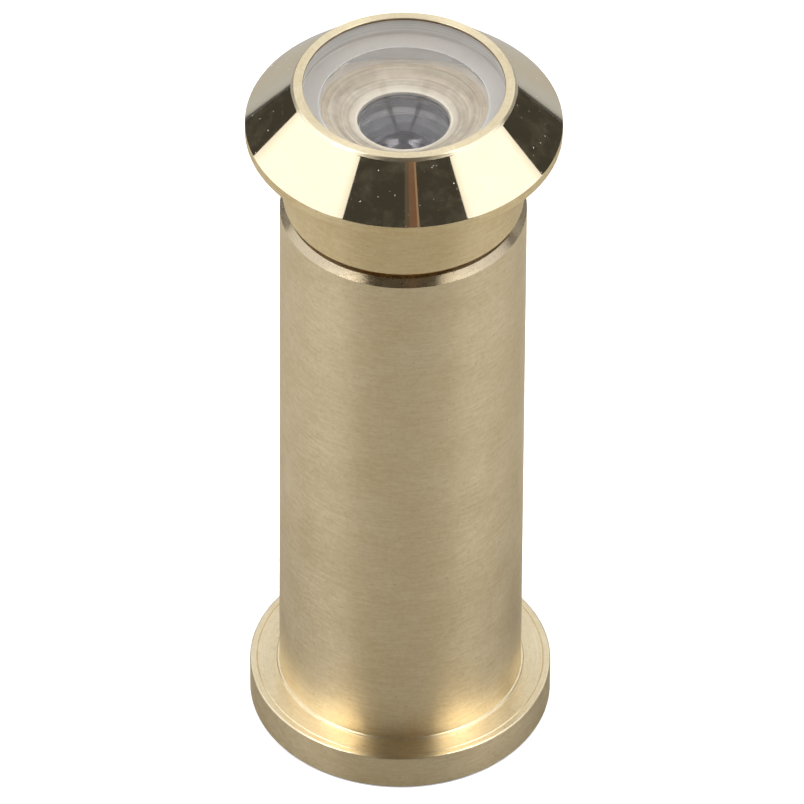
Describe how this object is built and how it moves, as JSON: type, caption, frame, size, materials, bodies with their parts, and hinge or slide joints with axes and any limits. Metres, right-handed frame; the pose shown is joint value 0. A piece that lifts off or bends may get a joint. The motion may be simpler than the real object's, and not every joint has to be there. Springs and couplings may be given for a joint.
{
  "type": "door viewer",
  "caption": "Round brass door viewer: a lens barrel with a polished cone flange screws into a flanged sleeve with an eyepiece, and turns to suit the door.",
  "frame": {"origin": "centre of the interior flange's flat face, which the viewer stands on", "axes": "+Z along the viewer's axis, from the interior eyepiece to the exterior lens"},
  "size_m": [0.0154, 0.0154, 0.0399],
  "materials": {
    "satin_brass": "satin, finely turned",
    "polished_brass": "mirror polished cone, satin rim and neck",
    "turned_brass": "as turned",
    "optical_glass": "clear, polished",
    "coated_glass": "polished, faint violet-grey coating",
    "gasket_rubber": "matt grey",
    "black_plastic": "matt black"
  },
  "bodies": {
    "inner_half": {"interior_sleeve": "satin_brass", "eyepiece_washer": "black_plastic", "eyepiece_lens": "optical_glass", "eyepiece_retaining_ring": "turned_brass"},
    "lens_train": {"objective_lens": "optical_glass", "objective_gasket": "gasket_rubber", "front_spacer": "turned_brass", "second_lens": "coated_glass", "middle_spacer": "black_plastic", "third_lens": "optical_glass"},
    "outer_half": {"exterior_barrel": "polished_brass", "lens_retaining_ring": "turned_brass", "light_baffle": "black_plastic"}
  },
  "joints": [
    {"name": "barrel_travel", "type": "slide", "parent": "inner_half", "child": "lens_train", "axis": [0, 0, 1], "range_m": [0, 0.019]},
    {"name": "barrel_turn", "type": "hinge", "parent": "lens_train", "child": "outer_half", "pos_m": [0, 0, 0.0348], "axis": [0, 0, 1], "range_deg": [0, 6842]}
  ],
  "couplings": [
    {"joint": "barrel_turn", "follows": "barrel_travel", "rad_per_m": 6283.2}
  ]
}
